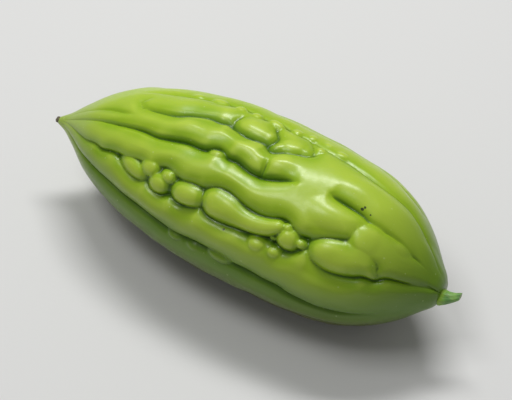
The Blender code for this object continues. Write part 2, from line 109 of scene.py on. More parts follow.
# distance from the nose, radius
GIRTH = ((0, 1.7), (4, 4.1), (10, 9.3), (20, 17.8), (32, 24.8), (46, 29.9), (63, 34.2), (84, 36.9),
         (106, 37.1), (128, 36.2), (146, 33.4), (160, 27.6), (172, 18.8), (180, 10.7), (183.4, 7.2),
         (LENGTH, 4.9))
FULL_RADIUS = 37.0
# distance from the nose, bow, of which the two shares below go to the back and up
BOW = ((0, -0.6), (4, 0.2), (10, 1.3), (20, 2.2), (35, 2.9), (55, 3.1), (80, 3.0), (130, 1.6), (170, 0.2),
       (LENGTH, -1.3))
BOW_BACK = 0.8
BOW_UP = 0.6
print("girth", 2 * FULL_RADIUS, "mm over", LENGTH, "mm")

# %% [markdown]
# ## Furrows
# A furrow is a crease between two rounded ribs. A plain groove would look scratched in, so each furrow has
# two slopes: wide shoulders that round the ribs over, and a narrow crease at the bottom. Its depth is set
# point by point, so it can start from nothing, wander and fade out.

# %% The furrows that show
SHOULDER = 9.4
CREASE = 2.6
CREASE_SHARE = 0.36
# Each line is a furrow. Its points are distance from the nose, heading and depth.
FURROWS = (
    # under the second rib
    ((4, 34, 1.8), (12, 29, 2.6), (22, 26, 3.0), (34, 24.6, 3.5), (46, 22.8, 4.0), (54, 23.6, 4.3),
     (60, 21.8, 4.6), (68, 19.4, 4.8), (76, 19.2, 4.9), (82, 15.4, 4.9), (87.5, 18.2, 5.0), (91, 17.6, 5.1),
     (97.5, 20.3, 5.2), (104, 20, 5.0), (110, 16.8, 4.4), (114, 14.4, 3.3), (119.5, 12.5, 0.4)),
    # over the second rib
    ((6, 8, 0.8), (18, 9.5, 1.4), (26, 9.2, 2.2), (33, 10.8, 2.3), (38.5, 11.5, 0.5)),
    ((40, 0.5, 1.6), (46, 1.4, 3.1), (56, 0.8, 3.5), (62.5, -3.5, 3.7), (71, -6.8, 3.8),
     (75.5, -6.4, 3.8), (79.5, -7.8, 4.0), (84.5, -5, 4.1), (90, -3.2, 4.1), (97.5, -4.6, 4.1),
     (101.5, -0.5, 3.6), (106.5, -4.5, 3.0), (111.5, -7.5, 2.8), (115.5, -9.8, 2.6), (118, -14, 2.0),
     (121, -19.5, 0.8)),
    # across the first and second ribs, which split them into lobes
    ((82, -6.2, 3.4), (80.5, -12, 2.8), (82, -18, 1.8)),
    ((99, -4.5, 3.8), (100.7, -12.5, 3.5), (98.5, -18, 2.8), (96.5, -24, 2.0)),
    ((117, -13.5, 2.3), (115.5, -19, 1.9), (112.5, -25.5, 1.5)),
    ((41, 1.5, 2.0), (38.5, -5, 1.8), (40.5, -11, 0.9)),
    ((103, 19.8, 3.9), (103.3, 14.5, 3.0), (103, 8, 1.1), (102, 2, 1.6)),
    # behind the first rib
    ((36, -20, 0.4), (50, -23, 1.2), (70, -26, 1.5), (81.5, -28.5, 1.8), (89, -24.8, 1.9), (97, -28, 1.9),
     (105.5, -25.5, 1.8), (113, -26, 1.7), (120.5, -23.8, 1.8), (131, -24, 2.0), (137, -22.5, 2.1),
     (147.5, -22, 2.1), (155, -24.5, 2.1), (162, -27.5, 2.1), (170.5, -25, 2.0), (177, -19, 1.7),
     (182, -12, 0.4)),
    # in the smooth shoulder near the stalk
    ((132, 9, 0.4), (134.5, 9.6, 2.6), (138, 9.6, 3.9), (143, 10, 4.0), (148, 10.7, 3.6), (152, 13, 3.2),
     (156.5, 12.6, 2.7), (164, 11, 2.3), (169.5, 13.3, 3.2), (173, 12.3, 2.8), (177, 13, 0.7)),
    # from the nose to the row of warts
    ((2, 46, 1.8), (12, 54.5, 3.2), (20, 56.5, 3.8), (26, 53.5, 4.1), (31, 55, 4.4), (36.5, 51.8, 4.7),
     (42, 52, 4.9)),
    # over and under the great lobes beside the stalk
    ((131.5, 46.5, 4.6), (135, 43.5, 4.5), (138.5, 40.3, 4.4), (144, 36, 4.0), (148, 32.2, 3.2),
     (149.3, 25, 2.5), (151.5, 18, 2.0), (153, 14, 1.4)),
    ((131.5, 46.5, 4.8), (133.5, 48.5, 5.0), (136.5, 53.8, 5.1), (139, 57, 5.1), (144, 61, 5.1),
     (149, 61.3, 5.2), (154, 60, 5.3), (157.5, 57.5, 5.4), (162, 57.8, 5.5), (165.5, 52, 5.6),
     (169.5, 50.5, 5.8), (173.5, 48.8, 6.2), (178, 43.5, 7.0), (181.5, 39, 8.0), (LENGTH, 39, 9.0)),
    # between the great lobes
    ((163, 55, 3.8), (162, 49, 3.2), (161, 42, 2.4), (158.5, 38, 0.8)),
    # under the fourth rib
    ((3, 73, 1.7), (11, 79.5, 3.0), (20, 81.5, 3.9), (36, 82.5, 4.5), (46.5, 85.5, 4.8), (58.5, 86, 5.0),
     (70, 89, 4.9), (80, 88, 4.9), (92, 87, 4.9), (103.5, 89.5, 4.9), (116, 90.7, 4.9), (124.5, 92.3, 4.8),
     (129, 95, 4.8), (137.5, 97.3, 4.4), (148, 100, 3.8), (157.5, 99, 2.6), (166, 97, 0.6)),
)
print(len(FURROWS), "furrows set by hand")

# %% [markdown]
# The depth of a furrow at a place on the skin depends on how far that place is from the furrow's line. The
# reach of the shoulders shrinks with the girth, so a furrow covers the same angle all along, and only the
# places within that angle are measured.

# %% How deep a furrow cuts
REACH_ANGLE = np.degrees(SHOULDER / FULL_RADIUS) + 1
FAR_AWAY = 1e3


def near_line(s, heading, line):
    """Which places are within a furrow's reach of its line."""
    middle = (line[:, 1].min() + line[:, 1].max()) / 2
    half = (line[:, 1].max() - line[:, 1].min()) / 2 + REACH_ANGLE
    beside = np.abs(turn_between(heading, middle)) < np.radians(half)
    return beside & (s > line[:, 0].min() - SHOULDER) & (s < line[:, 0].max() + SHOULDER)


def furrow(s, heading, radius, points):
    """How deep one furrow cuts at each place, in millimetres."""
    line = smooth_line(points)
    cut = np.zeros(s.shape)
    near = near_line(s, heading, line)
    s, heading, radius = s[near], heading[near], radius[near]
    slimness = radius / FULL_RADIUS
    nearest = np.full(s.shape, FAR_AWAY)
    depth = np.zeros(s.shape)
    for start, end in zip(line[:-1], line[1:]):
        along = s - start[0]
        across = turn_between(heading, start[1]) * radius
        run = end[0] - start[0]
        rise = np.radians(end[1] - start[1]) * radius
        t = np.clip((along * run + across * rise) / (run**2 + rise**2), 0, 1)
        distance = np.hypot(along - t * run, across - t * rise)
        closer = distance < nearest
        nearest = np.where(closer, distance, nearest)
        depth = np.where(closer, start[2] + t * (end[2] - start[2]), depth)
    shoulder = np.clip(1 - nearest / (SHOULDER * slimness), 0, 1) ** 2
    crease = np.clip(1 - nearest / (CREASE * slimness), 0, 1) ** 2
    cut[near] = depth * slimness * ((1 - CREASE_SHARE) * shoulder + CREASE_SHARE * crease)
    return cut


# %% [markdown]
# ## The valley of warts
# Between two ribs runs a valley with a level floor, which holds a row of warts. Each wart is a rounded dome
# that falls away on all sides. The skin is wherever the floor or a dome is highest, so a sharp fold appears
# by itself where two of them meet, as it does on the real fruit.

# %% The valley and the warts that show
# the valley's two edges: distance from the nose, heading
VALLEY_UPPER = ((40, 51.5), (43.5, 51), (47.5, 49.5), (52.5, 48.5), (55.5, 52.5), (57.5, 53.5), (59.5, 51),
                (61.5, 46), (65, 44), (68.5, 46), (74, 47), (78.5, 46), (83, 45.5), (86.5, 43), (89.5, 41),
                (93.5, 40.5), (99, 42.5), (104, 44.7), (110, 45.5), (115.5, 43.7), (118.5, 41.3),
                (121.5, 40.8), (124, 43.3), (128, 46.2), (132, 46))
VALLEY_LOWER = ((40, 52), (45, 56.5), (52, 61), (57, 58), (61, 61.5), (66, 62.5), (70, 60), (75, 62.5),
                (81.5, 59), (84.5, 56.5), (89, 60.5), (97, 60.5), (102.5, 59.5), (108, 59.7), (114, 58.3),
                (117.5, 56.8), (120, 58.7), (124, 59.7), (128, 57.3), (131.5, 51), (132.5, 47))
VALLEY_DEPTH = 5.0

# distance from the nose, heading, half length, half width, turn in degrees, top below the girth
WARTS = (
    # in the valley
    (49.8, 54.2, 8.2, 4.7, 9, 0.5), (63, 55.2, 5.6, 5.3, 0, 0.3), (66.4, 47.6, 4.3, 3.8, -8, 0.6),
    (77.4, 53.2, 8.5, 5.8, -8, 0.1), (118.2, 54.6, 1.9, 1.7, 0, 2.2), (124.5, 50.4, 5.4, 5.6, 0, 0.2),
    (122.9, 43.8, 2.9, 2.8, 0, 1.0), (130.2, 50, 3.0, 2.8, 0, 1.0),
    # hanging from the third rib
    (57, 46.8, 5.4, 5.2, 0, 0.2),
    # in the furrow over the second rib, and on the top beside it
    (82, 19.4, 4.4, 2.8, -6, 0.9), (90.3, -13.8, 10.0, 6.2, 0, 0.0), (108.3, -13.5, 8.0, 5.5, -30, 0.0),
    (118.4, -20.5, 3.3, 3.0, 0, 0.2), (126.5, -28.5, 5.4, 3.8, -8, 0.0),
    # under the fourth rib
    (75.5, 91, 4.6, 2.6, 0, 0.9), (84.5, 92, 4.9, 3.2, 0, 0.9), (97.3, 88.5, 6.8, 3.4, 0, 0.6),
    # on top of the fourth rib
    (112.8, 63.6, 5.2, 3.9, 0, 0.1), (120.5, 64, 4.2, 3.3, 0, 0.2),
)
WART_FALL = 3.3
WART_ROUNDNESS = 2.6
WART_SQUARENESS = 2.3


def valley(s, heading, radius, upper, lower, floor):
    """How deep a valley with a level floor cuts: full between its edges, a furrow's slope outside them."""
    middle = (curve(upper, s) + curve(lower, s)) / 2
    half = (curve(lower, s) - curve(upper, s)) / 2
    inside = np.abs(turn_between(heading, middle)) <= np.radians(np.maximum(half, 0))
    inside &= (s > upper[0][0]) & (s < upper[-1][0])
    cut = np.where(inside, floor * radius / FULL_RADIUS, 0)
    for edge in (upper, lower):
        cut = np.maximum(cut, furrow(s, heading, radius, [(at, turn, floor) for at, turn in edge]))
    return cut


def wart(s, heading, radius, place):
    """The height of one wart's rounded top, which falls away on all sides."""
    at, turn, half_length, half_width, twist, drop = place
    along = s - at
    across = turn_between(heading, turn) * radius
    angle = np.radians(twist)
    long_way = np.abs(along * np.cos(angle) + across * np.sin(angle)) / half_length
    short_way = np.abs(across * np.cos(angle) - along * np.sin(angle)) / half_width
    away = (long_way**WART_SQUARENESS + short_way**WART_SQUARENESS) ** (1 / WART_SQUARENESS)
    return -drop - WART_FALL * away**WART_ROUNDNESS


print(len(WARTS), "warts set by hand")

# %% [markdown]
# The longest wart is a club: a round head and a tapering tail. Domes laid over each other would meet in
# folds, so the club is one dome drawn out along a line: its height depends on the distance from the line,
# measured against the half width that the club has there.

# %% The club-shaped wart
# distance from the nose, heading, half width
CLUB = ((90.7, 49.6, 7.4), (95, 50.2, 7.2), (99.5, 51.2, 6.0), (104, 51.6, 5.1), (109, 51.2, 4.8),
        (113.5, 49.6, 4.5), (117, 47.2, 3.9), (119, 45.4, 3.3))
CLUB_DROP = 0.1


def club(s, heading, radius):
    """The height of the club-shaped wart, which falls away on all sides of its middle line."""
    line = smooth_line(CLUB)
    away = np.full(s.shape, FAR_AWAY)
    for start, end in zip(line[:-1], line[1:]):
        along = s - start[0]
        across = turn_between(heading, start[1]) * radius
        run = end[0] - start[0]
        rise = np.radians(end[1] - start[1]) * radius
        t = np.clip((along * run + across * rise) / (run**2 + rise**2), 0, 1)
        width = start[2] + t * (end[2] - start[2])
        away = np.minimum(away, np.hypot(along - t * run, across - t * rise) / width)
    return -CLUB_DROP - WART_FALL * away**WART_ROUNDNESS


# %% [markdown]
# The great lobes beside the stalk are domes too, but they grew into one another. They are added up on an
# exponential scale, which fills the folds between them and leaves soft saddles.

# %% The great lobes
# the same six values as for a wart
LOBES = ((145.4, 48.0, 11.8, 7.6, -9, -0.4), (154.6, 27.0, 8.2, 8.5, 0, -0.6),
         (169.5, 32, 10.5, 5.2, -12, -0.1), (166.3, 18.5, 5.6, 4.2, 0, 0.0))
LOBE_BLEND = 0.8
# keeps the logarithm finite far from the lobes
NO_LOBE = 1e-30


def lobes(s, heading, radius):
    """The height of the great lobes, which are domes whose folds are filled in."""
    parts = sum(np.exp(wart(s, heading, radius, place) / LOBE_BLEND) for place in LOBES)
    return LOBE_BLEND * np.log(parts + NO_LOBE)


print(len(LOBES), "great lobes")

# %% [markdown]
# Some places of the skin are plump without any fold round them, such as the smooth shoulder near the stalk.
# They are low hills, added to the height after everything else.

# %% Plump places
# the same values as for a wart, but the last one is the rise
PLUMP = (
    # at the end of the third rib, on the smooth shoulder and at the blunt end over the stalk
    (138, 23, 13.0, 7.5, 0, 1.3), (150, -4, 22.0, 9.0, 0, 1.1), (177.5, -8, 7.5, 7.5, 0, 1.9),
    # along the fourth rib
    (60, 70, 22.0, 6.5, 0, 0.8), (100, 68, 20.0, 6.5, 0, 0.9), (140, 77, 20.0, 7.0, 4, 0.9),
    # on the second rib
    (66, 10, 8.0, 5.5, 0, 0.6), (94, 8.5, 8.5, 6.5, 0, 0.6), (109, 7, 7.0, 6.5, 0, 0.6),
)
PLUMP_ROUNDNESS = 1.5


def plumpness(s, heading, radius):
    """How far the plump places rise, in millimetres."""
    total = np.zeros(s.shape)
    for at, turn, half_length, half_width, twist, rise in PLUMP:
        along = s - at
        across = turn_between(heading, turn) * radius
        angle = np.radians(twist)
        long_way = (along * np.cos(angle) + across * np.sin(angle)) / half_length
        short_way = (across * np.cos(angle) - along * np.sin(angle)) / half_width
        total += rise * np.clip(1 - long_way**2 - short_way**2, 0, 1) ** PLUMP_ROUNDNESS
    return total


print(len(PLUMP), "plump places")

# %% [markdown]
# ## The side that turns away
# The underside and the far side carry the same kinds of furrows and rows of warts. Nobody places those one
# by one: a rule lays them out, and a seeded random draw makes them uneven in the same way on every run.

# %% Furrows and warts by rule
PLAIN_FURROWS = ((124, 3.5), (180, 3.0), (246, 3.8), (309, 3.5))
PLAIN_SWAY = 1.9
WART_ROWS = ((151, 5.5, 3.8), (213, 8.0, 4.3), (277, 8.5, 4.3))
WART_ROW_SWAY = 2.2
WART_ROW_FILL = 0.86
WART_ROW_STEP = 5.6
WART_ROW_DROP = 0.8
ROW_START = 22
ROW_END = 164
HIDDEN_SEED = 11

# The top row: its heading and the stations that its line runs through, and the half width, half length
# and drop of its small warts. They stand a little over the girth.
TOP_ROW_HEADING = -28.0
TOP_ROW_STATIONS = range(24, 150, 7)
TOP_ROW_SWAY = 2
TOP_ROW_WAVE = 11
TOP_ROW_HALF_WIDTH = 3.8
TOP_ROW_STEP = 4.3
TOP_ROW_DROP = -0.12

# A line's stations and the length and share of each wave by which it wanders
STATION_STEP = 7.1
WANDER_WAVES = ((9, 1.0), (4.3, 0.6))

# How far the warts of a row keep from its ends, and how uneven they are: in length, width, heading, turn
# and drop, with a little overlap
ROW_MARGINS = (18, 20)
LENGTH_SPREAD = (0.75, 1.45)
WIDTH_SPREAD = (0.8, 1.05)
HEADING_SPREAD = 1.5
TURN_SPREAD = 14
DROP_SPREAD = (0.7, 1.3)
OVERLAP = 1.05

# short creases that run from the plain furrows into the ribs
PINCH_STEP = 15
PINCH_REACH = 11
PINCH_SHARE = 0.6
PINCH_MARGINS = (12, 18)
STEP_SPREAD = (0.7, 1.3)
REACH_SPREAD = (0.6, 1.1)
LEAN_SPREAD = 2.5
MIDDLE_SHARE = 0.6
END_SHARE = 0.15

# How a plain furrow fades out: the margin beyond its ends, and how blunt the fading is
FADE_MARGIN = 6
FADE_POWER = 0.6


def wandering(rng, heading, sway):
    """A heading that wanders along the fruit, as a list of (s, heading)."""
    stations = np.arange(ROW_START, ROW_END + 1, STATION_STEP)
    turn = np.full(len(stations), float(heading))
    for wave, share in WANDER_WAVES:
        turn += sway * share * np.sin(stations / wave + rng.uniform(0, 2 * np.pi))
    return list(zip(stations, turn))


def row_of_warts(rng, middle, half_width, step, drop):
    """Warts of uneven length, one after another along a wandering line."""
    placed = []
    at = middle[0][0] + ROW_MARGINS[0]
    while at < middle[-1][0] - ROW_MARGINS[1]:
        half_length = rng.uniform(*LENGTH_SPREAD) * step
        at += half_length
        width = half_width * rng.uniform(*WIDTH_SPREAD)
        turn = curve(middle, at) + rng.uniform(-HEADING_SPREAD, HEADING_SPREAD)
        twist = rng.uniform(-TURN_SPREAD, TURN_SPREAD)
        placed.append((at, turn, half_length * OVERLAP, width, twist, drop * rng.uniform(*DROP_SPREAD)))
        at += half_length
    return placed


def pinches(rng, line, depth):
    """Short creases that run from a furrow into the ribs on either side of it."""
    made = []
    at = line[0][0] + PINCH_MARGINS[0]
    while at < line[-1][0] - PINCH_MARGINS[1]:
        at += PINCH_STEP * rng.uniform(*STEP_SPREAD)
        turn = curve(line, at)
        reach = rng.choice((-1, 1)) * PINCH_REACH * rng.uniform(*REACH_SPREAD)
        lean = rng.uniform(-LEAN_SPREAD, LEAN_SPREAD)
        middle = (at + lean, turn + reach / 2, MIDDLE_SHARE * depth)
        made.append(((at, turn, depth), middle, (at, turn + reach, END_SHARE * depth)))
    return made


def tapered(line, depth):
    """A furrow along a line of (s, heading) that fades out at both ends."""
    start = line[0][0] - FADE_MARGIN
    span = line[-1][0] + FADE_MARGIN - start
    share = [np.sin(np.pi * (at - start) / span) ** FADE_POWER for at, _ in line]
    return [(at, turn, depth * part) for (at, turn), part in zip(line, share)]


# %% All furrows, valleys and warts together
def lay_out():
    """Every furrow, valley and wart of the skin, those listed and those set by rule."""
    rng = random.Random(HIDDEN_SEED)
    furrows = list(FURROWS)
    valleys = [(VALLEY_UPPER, VALLEY_LOWER, VALLEY_DEPTH)]
    warts = list(WARTS)
    for heading, depth in PLAIN_FURROWS:
        line = wandering(rng, heading, PLAIN_SWAY)
        furrows.append(tapered(line, depth))
        furrows += pinches(rng, line, PINCH_SHARE * depth)
    for heading, half, depth in WART_ROWS:
        middle = wandering(rng, heading, WART_ROW_SWAY)
        half_mm = np.radians(half) * FULL_RADIUS
        bulge = [half * np.sin(np.pi * (at - ROW_START) / (ROW_END - ROW_START)) for at, _ in middle]
        upper = [(at, turn - part) for (at, turn), part in zip(middle, bulge)]
        lower = [(at, turn + part) for (at, turn), part in zip(middle, bulge)]
        valleys.append((upper, lower, depth))
        warts += row_of_warts(rng, middle, half_mm * WART_ROW_FILL, WART_ROW_STEP, WART_ROW_DROP)
    sway = [(at, TOP_ROW_SWAY * np.sin(at / TOP_ROW_WAVE)) for at in TOP_ROW_STATIONS]
    top_row = [(at, TOP_ROW_HEADING + turn) for at, turn in sway]
    warts += row_of_warts(rng, top_row, TOP_ROW_HALF_WIDTH, TOP_ROW_STEP, TOP_ROW_DROP)
    return furrows, valleys, warts


made_furrows, made_valleys, made_warts = lay_out()
print(len(made_furrows), "furrows,", len(made_valleys), "valleys,", len(made_warts), "warts in all")

# %% [markdown]
# ## The whole relief
# Furrows that meet shouldn't add up to a pit, and taking only the deepest would leave a hard ridge between
# two of them. The cube root of their summed cubes lies between: close to the deepest one, but smooth where
# they cross. Slow swells keep the ribs from looking machined.

# %% Height of the skin over the smooth girth
SWELLS = 12
SWELL_HEIGHT = 0.035
SWELL_WAVES = (13, 34)
SWELL_TURNS = (4, 15)


def swell(s, heading):
    """Slow, low swells, the same on every run."""
    rng = random.Random(HIDDEN_SEED + 1)
    total = np.zeros(s.shape)
    for _ in range(SWELLS):
        wave = rng.uniform(*SWELL_WAVES)
        turns = rng.randint(*SWELL_TURNS)
        total += np.sin(2 * np.pi * s / wave + turns * np.radians(heading) + rng.uniform(0, 2 * np.pi))
    return total * SWELL_HEIGHT


def relief(s, heading):
    """The height of the skin over the smooth girth, mostly below it."""
    radius = curve(GIRTH, s)
    slimness = radius / FULL_RADIUS
    furrows, valleys, warts = lay_out()
    cubes = np.zeros(s.shape)
    for points in furrows:
        cubes += furrow(s, heading, radius, points) ** 3
    for upper, lower, floor in valleys:
        cubes += valley(s, heading, radius, upper, lower, floor) ** 3
    height = -np.cbrt(cubes)
    for place in warts:
        height = np.maximum(height, wart(s, heading, radius, place) * slimness)
    for piece in (club, lobes):
        height = np.maximum(height, piece(s, heading, radius) * slimness)
    return height + (swell(s, heading) + plumpness(s, heading, radius)) * slimness


# %% [markdown]
# ## A skin from a ball
# Each piece starts as a ball of rings and columns. Its two poles become the two ends, and every other point
# moves to where a place function puts it. The ball is closed and faces outwards, so the piece is too.

# %% From a ball to a closed skin
HAIR = 1e-5


def ring_shares(rings):
    """How far along a piece each ring is. The first and the last lie beside their pole: flat ends."""
    return [0] + [HAIR + (1 - 2 * HAIR) * i / (rings - 2) for i in range(rings - 1)] + [1]


def skin_mesh(name, columns, rings, place):
    """A closed skin, and how far along it and at which heading each of its points is."""
    bm = bmesh.new()
    bmesh.ops.create_uvsphere(bm, u_segments=columns, v_segments=rings, radius=1)
    mesh = bpy.data.meshes.new(name)
    bm.to_mesh(mesh)
    bm.free()
    ball = np.empty(len(mesh.vertices) * 3)
    mesh.vertices.foreach_get("co", ball)
    x, y, z = ball.reshape(-1, 3).T
    ring = np.round(rings * (1 - np.arccos(np.clip(z, -1, 1)) / np.pi)).astype(int)
    along = np.array(ring_shares(rings))[ring]
    heading = np.degrees(np.arctan2(y, x))
    mesh.vertices.foreach_set("co", np.column_stack(place(along, heading)).ravel() * MM)
    mesh.shade_smooth()
    mesh.update()
    return mesh, along, heading


def corners(mesh):
    """A mesh's vertices as rows of x, y, z."""
    flat = np.empty(len(mesh.vertices) * 3)
    mesh.vertices.foreach_get("co", flat)
    return flat.reshape(-1, 3)


def move_to(mesh, places):
    """Puts a mesh's points at new places."""
    mesh.vertices.foreach_set("co", places.ravel())
    mesh.update()


# %% [markdown]
# ## The fruit
# The fine fruit has over four hundred columns, so that its creases stay narrow. It is pressed flat where it
# lies on the ground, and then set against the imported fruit: both have the same lowest point and the same
# middle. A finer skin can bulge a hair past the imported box, so every piece's points are kept within that
# box.

# %% The fine fruit
FRUIT_COLUMNS = 440
FRUIT_RINGS = 224
PRESSED = 0.6


def fruit_place(along, heading):
    """Where the fruit's skin is, from the share of its length and the heading. The underside isn't bowed."""
    s = along * LENGTH
    radius = np.maximum(curve(GIRTH, s) + relief(s, heading), 0)
    bow = curve(BOW, s)
    turn = np.radians(heading)
    radius = radius + bow * BOW_UP * np.clip(-np.cos(turn), 0, 1) ** 2
    radius = np.where((along == 0) | (along == 1), 0, radius)
    return s, bow * BOW_BACK - radius * np.sin(turn), bow * BOW_UP + radius * np.cos(turn)


def settling(mesh):
    """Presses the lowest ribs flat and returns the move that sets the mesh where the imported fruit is."""
    places = corners(mesh)
    level = places[:, 2].min() + PRESSED * MM
    places[:, 2] = np.maximum(places[:, 2], level)
    move_to(mesh, places)
    low, high = (np.array(corner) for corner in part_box("fruit"))
    shift = (low + high) / 2 - (places.min(axis=0) + places.max(axis=0)) / 2
    shift[2] = low[2] - level
    return shift


def add_piece(name, mesh, node):
    """Puts a mesh in the scene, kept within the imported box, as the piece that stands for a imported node."""
    move_to(mesh, np.clip(corners(mesh), CAD_BOX[0], CAD_BOX[1]))
    piece = bpy.data.objects.new(name, mesh)
    bpy.context.scene.collection.objects.link(piece)
    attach(piece, "root")
    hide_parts(node)


fruit_mesh, fruit_along, fruit_heading = skin_mesh("ribbed_fruit", FRUIT_COLUMNS, FRUIT_RINGS, fruit_place)
SETTLED = settling(fruit_mesh)
move_to(fruit_mesh, corners(fruit_mesh) + SETTLED)
add_piece("ribbed_fruit", fruit_mesh, "fruit")
print("fruit", len(fruit_mesh.polygons), "faces, moved by", (SETTLED / MM).round(2), "mm")

# %% [markdown]
# The skin is paler on the ribs and a deeper green down in the folds: partly its own colour, partly painted
# light on the crests and painted shade in the folds and valleys. The material can't see the relief, so the
# mesh carries
# it: each point's height is compared with the average height around it, and the difference is stored on the
# point as its hollow. A second number, its sunken depth, says how far the place lies below the smooth girth,
# and a third how far along the fruit it is.

# %% Hollows and ridges as an attribute
SPREADS = 26
HOLLOW_RANGE = 2.2
SUNKEN_RANGE = 4.2
SUNKEN_SPREADS = 8


def averaged(mesh, value, times):
    """A value spread over neighbouring points so many times."""
    edges = np.empty(len(mesh.edges) * 2, int)
    mesh.edges.foreach_get("vertices", edges)
    first, second = edges.reshape(-1, 2).T
    count = np.bincount(edges, minlength=len(value)) + 1
    for _ in range(times):
        total = np.bincount(first, value[second], len(value)) + np.bincount(second, value[first], len(value))
        value = (value + total) / count
    return value


def store(mesh, name, value):
    """Keeps one number for each point of a mesh, for its material to read."""
    mesh.attributes.new(name, "FLOAT", "POINT").data.foreach_set("value", value.astype(np.float32))


fruit_height = relief(fruit_along * LENGTH, fruit_heading)
around = averaged(fruit_mesh, fruit_height, SPREADS)
hollow = np.clip(0.5 + (around - fruit_height) / HOLLOW_RANGE, 0, 1)
store(fruit_mesh, "hollow", hollow)
sunken = averaged(fruit_mesh, np.clip(-fruit_height / SUNKEN_RANGE, 0, 1), SUNKEN_SPREADS)
store(fruit_mesh, "sunken", sunken)
store(fruit_mesh, "along", fruit_along)
print("hollow from", round(float(hollow.min()), 2), "to", round(float(hollow.max()), 2))
print("sunken share of the skin", round(float((sunken > 0.5).mean()), 2))

# %% [markdown]
# ## The stalk
# The stalk flares where it leaves the fruit, narrows to a fluted stub and ends in a flat cut that is a
# little hollow in its middle. Its outline runs from the middle of its root, out to the flare, along the
# side and back in over the cut.

# %% The fine stalk
STALK_LENGTH = 7.4
STALK_GAP = 0.3
STALK_SINK = 0.5
# reach beyond the root, radius
STALK_PROFILE = ((-STALK_SINK, 0.0), (-STALK_SINK, 3.45), (0.1, 3.65), (1.0, 3.3), (2.8, 2.75), (4.6, 2.25),
                 (6.0, 1.95), (6.9, 1.7), (7.32, 1.52), (STALK_LENGTH, 1.32), (7.25, 0.9), (7.1, 0.0))
STALK_BEND = 1.6
STALK_RISE = 3.0
STALK_BACK = 2.0
STALK_ASIDE = 1.2
STALK_DROP = 1.0
STALK_RIDGES = 5
STALK_RIDGE_HEIGHT = 0.14
STALK_FIBRES = 23
STALK_FIBRE_HEIGHT = 0.035
STALK_RIDGED_RADIUS = 1.5
STALK_COLUMNS = 138
STALK_RINGS = 72
CUT_START = 0.75
CUT_BLEND = 0.06


def outline(profile, along):
    """The reach and the radius at a share of the way along an outline."""
    steps = along * (len(profile) - 1)
    numbered = [(i, reach, radius) for i, (reach, radius) in enumerate(profile)]
    reach = curve([(i, reach) for i, reach, _ in numbered], steps)
    radius = curve([(i, radius) for i, _, radius in numbered], steps)
    return reach, np.maximum(radius, 0)


def stalk_place(along, heading):
    """Where the stalk's skin is: a fluted taper that bends up and back from the fruit's end."""
    reach, radius = outline(STALK_PROFILE, along)
    turn = np.radians(heading)
    ridges = STALK_RIDGE_HEIGHT * np.cos(STALK_RIDGES * turn)
    fibres = STALK_FIBRE_HEIGHT * np.cos(STALK_FIBRES * turn)
    radius = radius + (ridges + fibres) * np.clip(radius / STALK_RIDGED_RADIUS, 0, 1)
    radius = np.where((along == 0) | (along == 1), 0, radius)
    bow = curve(BOW, LENGTH)
    share = np.clip(reach / STALK_LENGTH, 0, 1) ** STALK_BEND
    middle_y = bow * BOW_BACK - STALK_ASIDE + STALK_BACK * share
    middle_z = bow * BOW_UP - STALK_DROP + STALK_RISE * share
    s = LENGTH + STALK_GAP + reach
    return s, middle_y - radius * np.sin(turn), middle_z + radius * np.cos(turn)


stalk_mesh, stalk_along, _ = skin_mesh("cut_stalk", STALK_COLUMNS, STALK_RINGS, stalk_place)
move_to(stalk_mesh, corners(stalk_mesh) + SETTLED)
add_piece("cut_stalk", stalk_mesh, "stalk")
store(stalk_mesh, "along", outline(STALK_PROFILE, stalk_along)[0] / STALK_LENGTH)
store(stalk_mesh, "cut", np.clip((stalk_along - CUT_START) / CUT_BLEND, 0, 1))
print("stalk", len(stalk_mesh.polygons), "faces")

# %% [markdown]
# ## The blossom scar
# The blossom dries on the nose and drops, and leaves a small ragged nub. It is short and blunt, with uneven
# lobes and a hollow end.

# %% The fine scar
SCAR_LENGTH = 1.5
# reach beyond the nose, radius
SCAR_PROFILE = ((-0.4, 0.0), (-0.4, 1.25), (0.1, 1.35), (0.4, 1.45), (0.9, 1.3), (1.25, 1.1),
                (SCAR_LENGTH, 0.8), (1.35, 0.5), (1.1, 0.0))
SCAR_GAP = 0.3
SCAR_LOBES = 4
SCAR_LOBE_HEIGHT = 0.16
SCAR_TWIST = 2
SCAR_RAGS = 11
SCAR_RAG_HEIGHT = 0.05
SCAR_DROOP = 0.35
SCAR_COLUMNS = 88
SCAR_RINGS = 44


def scar_place(along, heading):
    """Where the scar's skin is: a small ragged nub that points away from the nose."""
    reach, radius = outline(SCAR_PROFILE, 1 - along)
    turn = np.radians(heading)
    share = np.clip(reach / SCAR_LENGTH, 0, 1)
    lobes = SCAR_LOBE_HEIGHT * np.cos(SCAR_LOBES * turn + SCAR_TWIST * reach) * share
    rags = SCAR_RAG_HEIGHT * np.cos(SCAR_RAGS * turn - reach) * share
    radius = radius + (lobes + rags) * np.clip(radius, 0, 1)
    radius = np.where((along == 0) | (along == 1), 0, radius)
    bow = curve(BOW, 0)
    middle_z = bow * BOW_UP - SCAR_DROOP * share**2
    return -SCAR_GAP - reach, bow * BOW_BACK - radius * np.sin(turn), middle_z + radius * np.cos(turn)


scar_mesh, _, _ = skin_mesh("dry_scar", SCAR_COLUMNS, SCAR_RINGS, scar_place)
move_to(scar_mesh, corners(scar_mesh) + SETTLED)
add_piece("dry_scar", scar_mesh, "blossom_scar")
print("scar", len(scar_mesh.polygons), "faces")

# %% [markdown]
# ## Building materials from nodes
# A few small helpers keep the node trees readable: one adds a node and sets its values, and the tree's
# links are made by feeding one node's output into another's input.

